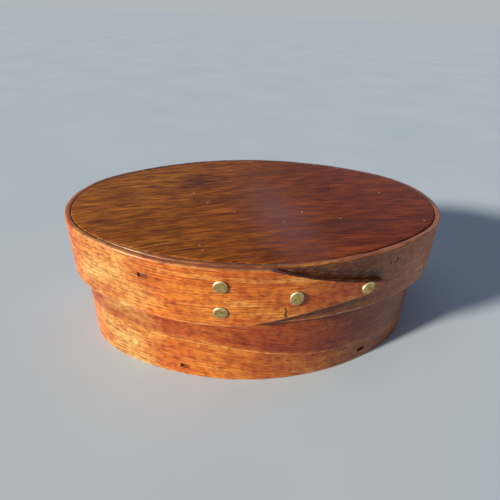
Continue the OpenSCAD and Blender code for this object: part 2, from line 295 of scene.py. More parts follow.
def varnished_mahogany(name, turned, swept, clouds, specks):
    """A mahogany plank under old brown varnish: straight fine grain with short dark pores and
    broader darker stripes. It looks even and satin, and the grain is just felt through the
    finish. Its grain is turned by some degrees and sweeps; specks says how clear nicks are."""
    material, tree, out = new_material(name)
    place = add(tree, "TexCoord").outputs["Object"]
    along = add(tree, "Mapping", {"Vector": place, "Rotation": (0, 0, math.radians(turned))})
    # Slow bends of the grain: a broad noise moves it sideways
    bends = add(tree, "TexNoise", {
        "Vector": along.outputs["Vector"], "Scale": 16.0, "Detail": 1.0})
    shift = add(tree, "MapRange", {
        "Value": bends.outputs["Fac"], "To Min": -GRAIN_BEND, "To Max": GRAIN_BEND})
    # The grain also turns a little from end to end of the plank
    end = add(tree, "SeparateXYZ", {"Vector": place}).outputs["X"]
    square = add(tree, "Math", {0: end, 1: end}, operation="MULTIPLY")
    sweep = add(tree, "Math", {0: square.outputs["Value"], 1: swept, 2: shift.outputs["Result"]},
                operation="MULTIPLY_ADD")
    sideways = add(tree, "CombineXYZ", {"Y": sweep.outputs["Value"]})
    bent = add(tree, "VectorMath", {0: along.outputs["Vector"], 1: sideways.outputs["Vector"]},
               operation="ADD").outputs["Vector"]
    # Mahogany's pores are about 0.2 mm wide, and are drawn as coarse as they need to show
    drawn = figured(tree, bent, {
        "stripe": (70, 4.0, 3.0), "streak": (11, 0.42, 5.0), "pore": (6, 0.38, 2.0),
        "mottle": (7, 2.2, 3.0)})
    tone = add(tree, "ValToRGB", {"Fac": drawn["stripe"]},
               ramp=[(0.3, "#a35a1c"), (0.7, "#c67e2c"), (0.5, "#b56c22")])
    colour = darkened(tree, tone.outputs["Color"], drawn, [
        ("streak", 0.34, 0.58, "#8f7868"), ("mottle", 0.34, 0.6, "#c2aea0")])
    # Golden at one end of the plank, redder towards the other
    redder = add(tree, "MapRange", {
        "Value": end, "From Min": -40 * MM, "From Max": 30 * MM})
    red = add(tree, "MixRGB", {
        "Fac": redder.outputs["Result"], "Color1": linear("#ffffff"), "Color2": linear("#c08a74")})
    colour = add(tree, "MixRGB", {"Fac": 1.0, "Color1": colour, "Color2": red.outputs["Color"]},
                 blend_type="MULTIPLY").outputs["Color"]
    pores = add(tree, "ValToRGB", {"Fac": drawn["pore"]},
                ramp=[(0.35, "#ffffff"), (0.43, "#000000")])
    colour = add(tree, "MixRGB", {
        "Fac": pores.outputs["Color"], "Color1": colour,
        "Color2": linear("#4c220e")}).outputs["Color"]
    for (x, y), (long, wide), shade in clouds:
        moved = add(tree, "VectorMath", {0: bent, 1: (x * MM, y * MM, 0)}, operation="SUBTRACT")
        squeezed = add(tree, "VectorMath", {
            0: moved.outputs["Vector"], 1: (1 / (long * MM), 1 / (wide * MM), 0)},
            operation="MULTIPLY")
        far = add(tree, "VectorMath", {0: squeezed.outputs["Vector"]}, operation="LENGTH")
        ragged = add(tree, "Math", {
            0: drawn["streak"], 1: CLOUD_RAGGED, 2: far.outputs["Value"]},
            operation="MULTIPLY_ADD")
        within = add(tree, "MapRange", {
            "Value": ragged.outputs["Value"], "From Min": CLOUD_FROM, "From Max": CLOUD_FULL,
            "To Max": CLOUD_STRENGTH})
        colour = add(tree, "MixRGB", {
            "Fac": within.outputs["Result"], "Color1": colour,
            "Color2": linear(shade)}).outputs["Color"]
    # Nicks: small round spots, one near the middle of each cell
    nicks = add(tree, "TexVoronoi", {"Vector": place, "Scale": 1 / NICK_SPACING})
    specked = add(tree, "MapRange", {
        "Value": nicks.outputs["Distance"], "From Min": 0.05, "From Max": 0.025, "To Max": specks})
    colour = add(tree, "MixRGB", {
        "Fac": specked.outputs["Result"], "Color1": colour,
        "Color2": linear("#e2bd98")}).outputs["Color"]
    felt = add(tree, "Bump", {"Height": drawn["streak"], "Strength": 0.5, "Distance": 0.12 * MM})
    gloss = add(tree, "MapRange", {"Value": drawn["streak"], "To Min": 0.55, "To Max": 0.4})
    wood = add(tree, "BsdfPrincipled", {
        "Base Color": colour, "Roughness": gloss.outputs["Result"],
        "Normal": felt.outputs["Normal"], "Specular IOR Level": 0.1})
    tree.links.new(wood.outputs["BSDF"], out.inputs["Surface"])
    return material


def fit(piece, body, node):
    """Puts a piece in the place of its node."""
    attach(piece, body)
    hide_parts(node)


base_board = board(
    "bottom_board", BASE_FACE - BASE_BAND_T - BOARD_GAP,
    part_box("base_board")[0].z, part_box("base_board")[1].z,
    varnished_mahogany("bottom_mahogany", 3, 0.3, [((18, -9), (22, 7), "#5b2b14")], 0.0))
fit(base_board, "base", "base_board")

# ---- Base band ----
# One thin strip of maple, steamed, bent round an oval form and lapped over its own inner
# end, which is planed to a feather. The outer layer is cut to one long finger, which lies
# at the back here. Slots for the pegs go through it near its lower edge.
FEATHER_T = 0.1 * MM
FINGER_REACH, FINGER_TIP_R = 38.5 * MM, 1.9 * MM
FINGER_TOP_ROOT, FINGER_LOW_ROOT = -2 * MM, -9.5 * MM
CLIMB_START, CLIMB_END = -70 * MM, -25 * MM
BASE_FINGER_RISE = 19 * MM
# Shares of the way, along and up, at which a finger's edge is steered
TOP_EDGE_PULLS = [(0.25, 0.32), (0.65, 0.7)]
LOW_EDGE_PULLS = [(0.22, 0.38), (0.62, 0.95)]
PEG_W, PEG_H, SLOT_GAP = 3.2 * MM, 1.4 * MM, 0.15 * MM
# The base is turned half round, so that its lap lies behind
BASE_TURN = math.pi
# Spacing of the mesh along and across a band, the steps round an arris, and the degrees at
# which the round of a finger's tip has points
STEP_ALONG, STEP_ACROSS, ARRIS_STEPS, TIP_DEGREES = 1.1 * MM, 1.0 * MM, 4, range(0, 86, 9)
# An even point nearer than this share of a step to a needed one is left out
CROWDED = 0.4
# How far the arrises are rounded, how much wear changes that, what share of the wood's
# thickness one may take, and how deep the rim is worn
ARRIS_R, FINGER_ARRIS_R, ARRIS_WEAR = 0.55 * MM, 0.3 * MM, 0.45
ARRIS_SHARE, RIM_WEAR = 0.46, 0.12 * MM
# Depth of the shallow flats that the bending leaves
BEND_WAVE = 0.1 * MM
# How worn the outer upper, inner lower and outer lower arris are, and the outer face just
# above the last
WORN_TOP, WORN_INSIDE, WORN_LOW, WORN_FACE = 0.42, 0.5, 1, 0.8
# Varnish pooled on the inner layer along a finger's upper edge: how far up it reaches, over
# what height it fades, over what lengths it widens and ends
POOL_WIDTH, POOL_FADE, POOL_WIDENS, POOL_END = 2.9 * MM, 0.9 * MM, 14 * MM, 4 * MM
# How far past the finger's tip the inner layer gets painted shade, and over what length that fades
SHADE_PAST, SHADE_DYING = 26 * MM, 42 * MM
# How dark the pool is, the painted shade on the inner layer above and below the finger, and
# the finger's own upper edge and tip, and over what length the tip darkens
POOL_EDGE, SHADE_AROUND, SHADE_BELOW, POOL_FINGER, POOL_TIP = 1.0, 0.85, 0.7, 1.0, 0.18
TIP_DARKENS = 7 * MM
# How dark the rim is made: by dirt and varnish all round and more on its inner side, and by
# painted shade more towards the right of the front and more behind
SOIL_LEAST, SOIL_INSIDE, SHADE_RIGHT, SHADE_BEHIND = 0.18, 0.25, 0.3, 0.68
# Painted highlight: yellow glare painted where a band turns towards the main light. Its middle and
# half width, as turns
GLARE_MIDDLE, GLARE_WIDTH = math.radians(-38), math.radians(17)
# Points this near the outermost one belong to the outer end of a peg or tack
END_DEPTH = 0.3 * MM


def turn_of(x, y):
    """Turn at which a point near the oval lies, from -pi to pi."""
    for centre, towards in ((SIDE_Y, 1), (-SIDE_Y, -1)):
        turn = math.atan2(x, towards * (centre - y))
        if abs(turn) <= SIDE_ANGLE:
            return turn if towards > 0 else math.copysign(math.pi, x) - turn
    return math.atan2(x - math.copysign(END_X, x), -y)


def offset_of(x, y):
    """How far a point near the oval lies outside it."""
    turn = turn_of(x, y)
    at = bend_point(turn, 0)
    return (x - at[0]) * math.sin(turn) - (y - at[1]) * math.cos(turn)


def lengths(offset):
    """Lengths of half a side arc, of an end arc and of the whole way round."""
    side = (SIDE_R + offset) * SIDE_ANGLE
    end = (END_R + offset) * (math.pi - 2 * SIDE_ANGLE)
    return side, end, 4 * side + 2 * end


def turn_at(way, offset):
    """Turn at a distance along the bend from the middle of the lap, also past a full round."""
    side, end, whole = lengths(offset)
    rounds, way = divmod(way + whole / 2, whole)
    way -= whole / 2
    reach = abs(way)
    if reach <= side:
        turn = reach / (SIDE_R + offset)
    elif reach <= side + end:
        turn = SIDE_ANGLE + (reach - side) / (END_R + offset)
    else:
        turn = math.pi - (whole / 2 - reach) / (SIDE_R + offset)
    return math.copysign(turn, way) + rounds * 2 * math.pi


def way_at(turn, offset):
    """Distance along the bend at a turn from -pi to pi: turn_at the other way round."""
    side, end, whole = lengths(offset)
    reach = abs(turn)
    if reach <= SIDE_ANGLE:
        way = reach * (SIDE_R + offset)
    elif reach <= math.pi - SIDE_ANGLE:
        way = side + (reach - SIDE_ANGLE) * (END_R + offset)
    else:
        way = whole / 2 - (math.pi - reach) * (SIDE_R + offset)
    return math.copysign(way, turn)


def between(value, start, full):
    """A smooth step from 0 at the start to 1 at the full end, whichever is higher."""
    u = min(max((value - start) / (full - start), 0), 1)
    return u * u * (3 - 2 * u)


def climb(way):
    """How far the lap has climbed over the inner end: 0 before it, 1 on top of it."""
    return between(way, CLIMB_START, CLIMB_END)


def layer_faces(way, face, thick):
    """Offsets of the strip's inner and outer face at a way from its feather to its finger."""
    whole = lengths(face)[2]
    if way > whole / 2:
        inner = face - thick + (thick + LAP_GAP) * climb(way - whole)
        return inner, inner + thick
    return face - thick, face - thick + (thick + LAP_GAP) * climb(way) - LAP_GAP


def edge_height(x, root, tip, pulls):
    """Height of a finger's curved edge at x, found by halving on the curve's own measure."""
    def on_curve(u, axis):
        span = tip[axis] - root[axis]
        near, far = (root[axis] + pull[axis] * span for pull in pulls)
        v = 1 - u
        return (v ** 3 * root[axis] + 3 * v * v * u * near + 3 * v * u * u * far
                + u ** 3 * tip[axis])
    below, above = 0.0, 1.0
    for _ in range(30):
        middle = (below + above) / 2
        if on_curve(middle, 0) < x:
            below = middle
        else:
            above = middle
    return on_curve(below, 1)


def finger_edges(x, height, rise):
    """Heights of the strip's lower and upper edge where the finger is cut, x from the lap."""
    tip_x = FINGER_REACH - FINGER_TIP_R
    if x > tip_x:
        half_width = math.sqrt(max(FINGER_TIP_R ** 2 - (x - tip_x) ** 2, 0))
        return rise - half_width, rise + half_width
    low, high = 0, height
    if x > FINGER_LOW_ROOT:
        low = edge_height(x, (FINGER_LOW_ROOT, 0), (tip_x, rise - FINGER_TIP_R), LOW_EDGE_PULLS)
    if x > FINGER_TOP_ROOT:
        high = edge_height(
            x, (FINGER_TOP_ROOT, height), (tip_x, rise + FINGER_TIP_R), TOP_EDGE_PULLS)
    return low, high


def spot_of(node, turned):
    """Turn, offset and height of the outer end of a peg or tack, from the frame's node."""
    points = [Matrix.Rotation(turned, 3, "Z") @ v.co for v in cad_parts[node].data.vertices]
    offsets = [offset_of(p.x, p.y) for p in points]
    outermost = [p for p, o in zip(points, offsets) if o > max(offsets) - END_DEPTH]
    middle = sum(outermost, Vector()) / len(outermost)
    box_low, box_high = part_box(node)
    return turn_of(middle.x, middle.y), max(offsets), (box_low.z + box_high.z) / 2


def pooled(way, z, face, thick, low, high, rise):
    """How dark a place on the inner layer is, from 0 to 1: varnish pooled along the finger's
    upper edge, and painted shade round and below the finger and past its tip.
    """
    x = way * (SIDE_R + face + LAP_GAP + thick) / (SIDE_R + face)
    past = FINGER_REACH + SHADE_PAST
    if not -POOL_END < x < past:
        return 0
    cut = min(max(x, FINGER_TOP_ROOT), FINGER_REACH - FINGER_TIP_R)
    over = z - low - finger_edges(cut, high - low, rise)[1]
    width = 0.35 + 0.65 * between(x, FINGER_TOP_ROOT, FINGER_TOP_ROOT + POOL_WIDENS)
    width *= POOL_WIDTH * (1 + 0.25 * wander(x * 300, 5.0, 1.0))
    # Painted shade on the inner layer round the finger and past its tip, weaker below it
    around = SHADE_AROUND * between(x, -POOL_END, 0) * between(x, past, past - SHADE_DYING)
    around *= 1 - (1 - SHADE_BELOW) * between(over, 0, -2 * FINGER_TIP_R)
    if over < -2 * FINGER_TIP_R:
        return around
    pool = POOL_EDGE * between(over, width + POOL_FADE, width)
    pool *= between(x, FINGER_TOP_ROOT, FINGER_TOP_ROOT + POOL_END)
    pool *= between(x, FINGER_REACH + POOL_END / 2, FINGER_REACH - POOL_END / 2)
    return max(around, pool)


def dirt_and_shade_of(turn, inside, way):
    """How dark dirt and painted shade make the rim at a turn, on its outer or inner side, from 0 to
    1.
    """
    degrees = math.degrees(turn)
    right = between(degrees, -28, -3)
    behind = between(abs(degrees + 25), 75, 120)
    under_lap = between(way, 12 * MM, 2 * MM)
    amount = SOIL_LEAST + SOIL_INSIDE * (inside + under_lap)
    # Painted shade: darker towards the right of the front and behind
    amount += max(SHADE_RIGHT * right, SHADE_BEHIND * behind)
    return amount * (1 + 0.3 * wander(turn * 14, inside, 2.0))


def glowing(turn, z):
    """How strongly the painted yellow glare shows at a turn, from 0 to 1."""
    far = abs(turn - GLARE_MIDDLE) / GLARE_WIDTH + 0.25 * wander(turn * 7, z * 90, 4.0)
    return between(far, 1.2, 0.2)


def band(name, face, thick, low, high, rise, pegs, turned, drift, material):
    """A bent and lapped band as one closed strip, with a slot for each peg. Face is the offset
    of its inner layer's outer face, and drift gives the height of one growth line."""
    whole = lengths(face)[2]
    stretch = (SIDE_R + face) / (SIDE_R + face + LAP_GAP + thick)
    share = (LAP_GAP + FEATHER_T) / (LAP_GAP + thick)
    first = CLIMB_START + (CLIMB_END - CLIMB_START) * (
        0.5 - math.sin(math.asin(1 - 2 * share) / 3))
    last = whole + FINGER_REACH * stretch

    # Stations along the strip: the slots' sides, the round of the tip, and even ones between
    slots = []
    for node in pegs:
        turn, _, z = spot_of(node, turned)
        way = way_at(turn, face)
        slots += [(at, z) for at in (way, way + whole) if first + PEG_W < at < last - PEG_W]
    tip_from = last - FINGER_TIP_R * stretch
    fixed = [first]
    fixed += [at + side * (PEG_W / 2 + SLOT_GAP) for at, z in slots for side in (-1, 1)]
    fixed += [tip_from + FINGER_TIP_R * stretch * math.sin(math.radians(a)) for a in TIP_DEGREES]
    count = round((tip_from - first) / STEP_ALONG)
    even = [first + (tip_from - first) * i / count for i in range(1, count)]
    ways = sorted(fixed + [
        w for w in even if min(abs(w - f) for f in fixed) > CROWDED * STEP_ALONG])

    # Rows up the faces: the slots' edges, and even ones between
    edges = sorted({
        round(z + side * (PEG_H / 2 + SLOT_GAP), 6) for _, z in slots for side in (-1, 1)})
    count = round((high - low - 2 * ARRIS_R) / STEP_ACROSS)
    even = [low + ARRIS_R + (high - low - 2 * ARRIS_R) * i / count for i in range(count + 1)]
    rows = sorted(edges + [z for z in even if z in (even[0], even[-1])
                           or min(abs(z - e) for e in edges) > CROWDED * STEP_ACROSS])
    inner_from = len(rows) + 2 * ARRIS_STEPS
    size = 2 * inner_from

    vertices, grain, place, worn, pool, bare, glow = [], [], [], [], [], [], []
    arc = [math.radians(90 / ARRIS_STEPS * i) for i in range(ARRIS_STEPS + 1)]
    for way in ways:
        turn = turn_at(way, face)
        inner, outer = layer_faces(way, face, thick)
        z0, z1 = low, high
        if way > whole + FINGER_LOW_ROOT:
            z0, z1 = (low + z for z in finger_edges((way - whole) / stretch, high - low, rise))
        z0 += RIM_WEAR * (0.5 + 0.5 * wander(way * 130, 2.2, low * 50))
        z1 -= RIM_WEAR * (0.5 + 0.5 * wander(way * 160, 7.7, low * 50))
        wave = BEND_WAVE * (wander(way * 45, low * 900, 3.1) - 1) / 2
        if way < whole / 2:
            wave *= 1 - climb(way)
        radius = FINGER_ARRIS_R if way > whole + FINGER_TOP_ROOT else ARRIS_R
        r = [min(radius * (1 + ARRIS_WEAR * wander(way * 260, k * 5.0, low * 90)),
                 ARRIS_SHARE * (outer - inner), ARRIS_SHARE * (z1 - z0)) for k in range(4)]
        # The section: up the outer face, over the upper edge, down the inner face and back
        # under the lower edge. For each point: its offset, its height and how worn it is.
        up_outer = (z1 - z0 - r[0] - r[3]) / (rows[-1] - rows[0])
        up_inner = (z1 - z0 - r[1] - r[2]) / (rows[-1] - rows[0])
        section = [(outer, z0 + r[3] + (z - rows[0]) * up_outer, 0) for z in rows]
        section += [(outer - r[0] * (1 - math.cos(a)), z1 - r[0] * (1 - math.sin(a)),
                     WORN_TOP * math.sin(2 * a)) for a in arc[1:]]
        section += [(inner + r[1] * (1 - math.sin(a)), z1 - r[1] * (1 - math.cos(a)), 0)
                    for a in arc[:-1]]
        section += [(inner, z0 + r[2] + (z - rows[0]) * up_inner, 0) for z in reversed(rows)]
        section += [(inner + r[2] * (1 - math.cos(a)), z0 + r[2] * (1 - math.sin(a)),
                     WORN_INSIDE * math.sin(2 * a)) for a in arc[1:]]
        section += [(outer - r[3] * (1 - math.sin(a)), z0 + r[3] * (1 - math.cos(a)), WORN_LOW)
                    for a in arc[:-1]]
        world_turn = (turn + turned + math.pi) % (2 * math.pi) - math.pi
        for k, (offset, z, edge) in enumerate(section):
            x, y = bend_point(turn, offset + wave)
            vertices.append(Matrix.Rotation(turned, 3, "Z") @ Vector((x, y, z)))
            grain.append((way, z - drift(way), offset - inner))
            place.append((way, z, offset - inner))
            on_top = len(rows) <= k < inner_from
            on_finger = way > whole + FINGER_TOP_ROOT and on_top
            # The lowest row of the outer face is rubbed too, with the lower arris
            worn.append(0 if on_finger else WORN_FACE if k == 0 else edge)
            if way > whole / 2:
                at_tip = POOL_TIP * between(way, last - TIP_DARKENS, last)
                pool.append(POOL_FINGER if on_finger else at_tip)
            else:
                pool.append(pooled(way, z, face, thick, low, high, rise))
            # On the rim: dirt, with painted shade towards the right and behind
            if on_top and not on_finger:
                pool[-1] = dirt_and_shade_of(world_turn, k >= len(rows) + ARRIS_STEPS, way)
            # Painted highlight: how much yellow glare is painted here
            glow.append(glowing(world_turn, z))
            bare.append(1 if inner_from <= k < inner_from + len(rows) else 0)

    def at(j, k):
        return j * size + k % size

    def inside(row):
        return inner_from + len(rows) - 1 - row

    holes, walls = set(), []
    for way, z in slots:
        js = [j for j, w in enumerate(ways) if abs(w - way) < PEG_W / 2 + SLOT_GAP + 1e-6]
        ks = [k for k, row in enumerate(rows) if abs(row - z) < PEG_H / 2 + SLOT_GAP + 2e-6]
        for j in js[:-1]:
            holes |= {(j, k) for k in ks[:-1]} | {(j, inside(k + 1)) for k in ks[:-1]}
            walls += [(at(j, k), at(j + 1, k), at(j + 1, inside(k)), at(j, inside(k)))
                      for k in (ks[0], ks[-1])]
        for k in ks[:-1]:
            walls += [(at(j, k), at(j, k + 1), at(j, inside(k + 1)), at(j, inside(k)))
                      for j in (js[0], js[-1])]
    faces = [(at(j, k), at(j + 1, k), at(j + 1, k + 1), at(j, k + 1))
             for j in range(len(ways) - 1) for k in range(size) if (j, k) not in holes]
    faces += walls
    faces += [tuple(range(size)), tuple(at(len(ways) - 1, k) for k in range(size))]
    return new_piece(name, vertices, faces, material,
                     grain=grain, place=place, worn=worn, pool=pool, bare=bare, glow=glow)


# How far a crack wavers, and half its width
CRACK_WAVER, CRACK_HALF = 2.4 * MM, 0.26 * MM


def varnished_maple(name, pale_line=None, crack=None):
    """Maple under amber varnish: fine streaks that follow the bend, and a faint curly figure
    across them. The varnish makes it orange, and has worn to pale wood on the arrises.
    A pale line has a height on the grain, a middle and a half length; a crack has the places
    along the band of its lower and upper end, and then their heights."""
    material, tree, out = new_material(name)
    grain = add(tree, "Attribute", attribute_name="grain").outputs["Vector"]
    place = add(tree, "Attribute", attribute_name="place").outputs["Vector"]
    worn = add(tree, "Attribute", attribute_name="worn").outputs["Fac"]
    pool = add(tree, "Attribute", attribute_name="pool").outputs["Fac"]
    bare = add(tree, "Attribute", attribute_name="bare").outputs["Fac"]
    glow = add(tree, "Attribute", attribute_name="glow").outputs["Fac"]
    # Maple's own pores and rays are finer, and are drawn as coarse as they need to show
    drawn = figured(tree, grain, {
        "growth": (75, 4.5, 2.0), "streak": (12, 0.5, 4.0), "fleck": (2.4, 0.4, 2.0),
        "curl": (2.2, 2.4, 3.0), "blotch": (18, 9, 3.0), "line": (130, 5.0, 0.0)})
    tone = add(tree, "ValToRGB", {"Fac": drawn["growth"]},
               ramp=[(0.3, "#dc7c26"), (0.72, "#f0a644"), (0.5, "#e88e30")])
    colour = tone.outputs["Color"]
    # Thin pale lines, where one smooth noise has its middle value
    lines = add(tree, "Math", {0: drawn["line"], 1: 0.5, 2: 0.016}, operation="COMPARE")
    thin = add(tree, "Math", {0: lines.outputs["Value"], 1: 0.5}, operation="MULTIPLY")
    colour = add(tree, "MixRGB", {
        "Fac": thin.outputs["Value"], "Color1": colour,
        "Color2": linear("#f8bc6c")}).outputs["Color"]
    # Painted highlight: yellow glare in blotches, where the band turns towards the main light
    glowed = add(tree, "Math", {0: glow, 1: drawn["blotch"]}, operation="MULTIPLY")
    yellow = add(tree, "MapRange", {
        "Value": glowed.outputs["Value"], "From Min": 0.08, "From Max": 0.5, "To Max": 0.95})
    colour = add(tree, "MixRGB", {
        "Fac": yellow.outputs["Result"], "Color1": colour,
        "Color2": linear("#e8c070")}).outputs["Color"]
    colour = darkened(tree, colour, drawn, [
        ("streak", 0.32, 0.58, "#cdb095"), ("curl", 0.34, 0.58, "#dac2a8"),
        ("blotch", 0.36, 0.62, "#e4c2a2"), ("fleck", 0.34, 0.48, "#c2a083")])
    if pale_line is not None:
        # A pale line of sapwood that fades at its ends. The wood above it is darker round the
        # line's middle.
        height, middle, reach = pale_line
        up = add(tree, "SeparateXYZ", {"Vector": grain}).outputs["Y"]
        way = add(tree, "SeparateXYZ", {"Vector": place}).outputs["X"]
        above = add(tree, "MapRange", {
            "Value": up, "From Min": height, "From Max": height + 1.5 * MM})
        beside = add(tree, "Math", {0: way, 1: middle}, operation="SUBTRACT")
        beside = add(tree, "Math", {0: beside.outputs["Value"]}, operation="ABSOLUTE")
        fade = add(tree, "MapRange", {
            "Value": beside.outputs["Value"], "From Min": reach, "From Max": 0.6 * reach})
        near = add(tree, "MapRange", {
            "Value": beside.outputs["Value"], "From Min": 150 * MM, "From Max": 90 * MM})
        darker_above = add(tree, "Math", {0: above.outputs["Result"], 1: near.outputs["Result"]},
                    operation="MULTIPLY")
        colour = add(tree, "MixRGB", {
            "Fac": darker_above.outputs["Value"], "Color1": colour, "Color2": linear("#dcc0b0")},
            blend_type="MULTIPLY").outputs["Color"]
        # Painted shade: the whole height of the wood is darker further along, towards the right of
        # the front
        ahead = add(tree, "Math", {0: way, 1: middle + 55 * MM}, operation="SUBTRACT")
        ahead = add(tree, "Math", {0: ahead.outputs["Value"]}, operation="ABSOLUTE")
        dim = add(tree, "MapRange", {
            "Value": ahead.outputs["Value"], "From Min": 80 * MM, "From Max": 30 * MM})
        colour = add(tree, "MixRGB", {
            "Fac": dim.outputs["Result"], "Color1": colour, "Color2": linear("#dcc6b4")},
            blend_type="MULTIPLY").outputs["Color"]
        on_line = add(tree, "Math", {0: up, 1: height, 2: 0.17 * MM}, operation="COMPARE")
        lit = add(tree, "Math", {0: on_line.outputs["Value"], 1: drawn["curl"]},
                  operation="MULTIPLY")
        lit = add(tree, "Math", {0: lit.outputs["Value"], 1: fade.outputs["Result"]},
                  operation="MULTIPLY")
        colour = add(tree, "MixRGB", {
            "Fac": lit.outputs["Value"], "Color1": colour,
            "Color2": linear("#e8a766")}).outputs["Color"]
    if crack is not None:
        # A short crack that leans and wavers, from a lower edge up into the wood
        way_low, way_high, low, high = crack
        spot = add(tree, "SeparateXYZ", {"Vector": place})
        waver = add(tree, "TexNoise", {"Vector": place, "Scale": 550.0, "Detail": 3.0})
        lean = add(tree, "MapRange", {
            "Value": spot.outputs["Y"], "From Min": low, "From Max": high,
            "To Min": way_low - CRACK_WAVER / 2, "To Max": way_high - CRACK_WAVER / 2})
        middle = add(tree, "Math", {
            0: waver.outputs["Fac"], 1: CRACK_WAVER, 2: lean.outputs["Result"]},
            operation="MULTIPLY_ADD")
        across = add(tree, "Math", {
            0: spot.outputs["X"], 1: middle.outputs["Value"], 2: CRACK_HALF},
            operation="COMPARE")
        under = add(tree, "Math", {0: spot.outputs["Y"], 1: high}, operation="LESS_THAN")
        both = add(tree, "Math", {0: across.outputs["Value"], 1: under.outputs["Value"]},
                   operation="MULTIPLY")
        colour = add(tree, "MixRGB", {
            "Fac": both.outputs["Value"], "Color1": colour,
            "Color2": linear("#3d190b")}).outputs["Color"]
    # Pooled varnish, dirt and painted shade are dark, with a ragged edge
    ragged = add(tree, "Math", {0: drawn["fleck"], 1: 0.5, 2: pool}, operation="MULTIPLY_ADD")
    dark = add(tree, "MapRange", {
        "Value": ragged.outputs["Value"], "From Min": 0.3, "From Max": 1.2, "To Max": 0.93})
    colour = add(tree, "MixRGB", {
        "Fac": dark.outputs["Result"], "Color1": colour,
        "Color2": linear("#401504")}).outputs["Color"]
    # Painted glints: pale flecks on the dark parts, where their varnish would shine
    crest = add(tree, "MapRange", {
        "Value": drawn["fleck"], "From Min": 0.58, "From Max": 0.64, "To Max": 0.6})
    painted_glints = add(tree, "Math", {0: crest.outputs["Result"], 1: dark.outputs["Result"]},
               operation="MULTIPLY")
    colour = add(tree, "MixRGB", {
        "Fac": painted_glints.outputs["Value"], "Color1": colour,
        "Color2": linear("#a87f66")}).outputs["Color"]
    # Rubbed arrises are paler, and so is the thinly varnished inside
    rubbed = add(tree, "Math", {0: worn, 1: drawn["fleck"]}, operation="MULTIPLY")
    paled = add(tree, "MapRange", {
        "Value": rubbed.outputs["Value"], "From Min": 0.3, "From Max": 0.62, "To Max": 0.75})
    colour = add(tree, "MixRGB", {
        "Fac": paled.outputs["Result"], "Color1": colour,
        "Color2": linear("#efae70")}).outputs["Color"]
    inner = add(tree, "Math", {0: bare, 1: 0.4}, operation="MULTIPLY")
    colour = add(tree, "MixRGB", {
        "Fac": inner.outputs["Value"], "Color1": colour,
        "Color2": linear("#c98f55")}).outputs["Color"]
    felt = add(tree, "Bump", {"Height": drawn["streak"], "Strength": 0.35, "Distance": 0.08 * MM})
    gloss = add(tree, "MapRange", {"Value": drawn["streak"], "To Min": 0.5, "To Max": 0.36})
    wood = add(tree, "BsdfPrincipled", {
        "Base Color": colour, "Roughness": gloss.outputs["Result"],
        "Normal": felt.outputs["Normal"], "Specular IOR Level": 0.35,
        "Coat Weight": 0.2, "Coat Roughness": 0.3})
    tree.links.new(wood.outputs["BSDF"], out.inputs["Surface"])
    return material


PEG_COUNT = 6
# The base's pale growth line: its height at the front, and how far and over what length it falls
LINE_HEIGHT, LINE_FALL, LINE_SPAN = 13.4 * MM, 4 * MM, 20 * MM
base_low, base_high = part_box("base_band")
base_way = lengths(BASE_FACE)[2]


def base_drift(way):
    """Height of one growth line of the base, which runs down to the right across the front."""
    return LINE_HEIGHT - LINE_FALL * math.tanh((way - base_way / 2) / LINE_SPAN)


base_band = band(
    "base_side", BASE_FACE, BASE_BAND_T, base_low.z, base_high.z, BASE_FINGER_RISE,
    [f"base_peg_{i + 1}" for i in range(PEG_COUNT)], BASE_TURN, base_drift,
    varnished_maple("base_side_maple", pale_line=(0.0, base_way / 2 - 2 * MM, 42 * MM)))
fit(base_band, "base", "base_band")

# ---- Base pegs ----
# Six slips of split maple, tapered by knife, driven through the slots into the edge of the
# bottom board and cut off. They have shrunk, and lie a little below the surface.
# For each peg: how deep its end lies in mm, the shares of its width and height, its tone
BASE_PEGS = [(1.0, 0.85, 1, "dark"), (1.2, 0.85, 1, "dark"), (0.3, 0.9, 1, "brown"),
             (0.5, 0.8, 1, "brown"), (0.3, 0.9, 1, "dark"), (0.4, 0.85, 1, "brown")]
PEG_LEN = 8 * MM
PEG_CORNER_R, PEG_SIDES = 0.3 * MM, 16
# Depths below a peg's end, and how wide the whittled peg is there and at its tip
PEG_TAPER = [(0, 0.8), (0.12 * MM, 0.93), (0.4 * MM, 1.0), (4 * MM, 0.98)]
PEG_TIP_SIZE = 0.8
# How uneven the knife has left it
WHITTLED = 0.04


def split_maple(name, low, high):
    """End grain of a split maple peg that has soaked up finish and dirt: dull and speckled.
    The darkest tones are painted shade, for a peg end deep in its slot.
    """
    material, tree, out = new_material(name)
    place = add(tree, "TexCoord").outputs["Object"]
    speck = add(tree, "TexNoise", {"Vector": place, "Scale": 1 / (0.35 * MM), "Detail": 3.0})
    tint = add(tree, "ValToRGB", {"Fac": speck.outputs["Fac"]}, ramp=[(0.35, low), (0.65, high)])
    felt = add(tree, "Bump", {
        "Height": speck.outputs["Fac"], "Strength": 0.6, "Distance": 0.1 * MM})
    wood = add(tree, "BsdfPrincipled", {
        "Base Color": tint.outputs["Color"], "Roughness": 0.6, "Normal": felt.outputs["Normal"]})
    tree.links.new(wood.outputs["BSDF"], out.inputs["Surface"])
    return material


PEG_TONES = {
    # The dark tone is painted shade: a near-black end for a peg that lies deep in its slot
    "dark": split_maple("split_maple_painted_shade", "#160a06", "#2e170d"),
    "brown": split_maple("split_maple_brown", "#4a3426", "#7a5c48"),
    "pale": split_maple("split_maple_pale", "#a86234", "#cf8a4e"),
}


def on_band(turn, offset, z, turned, points):
    """Moves points from a band's surface, where -Y points out of it, to their place."""
    x, y = bend_point(turn, offset)
    face, spin = Matrix.Rotation(turn, 3, "Z"), Matrix.Rotation(turned, 3, "Z")
    return [spin @ (face @ Vector(p) + Vector((x, y, z))) for p in points]


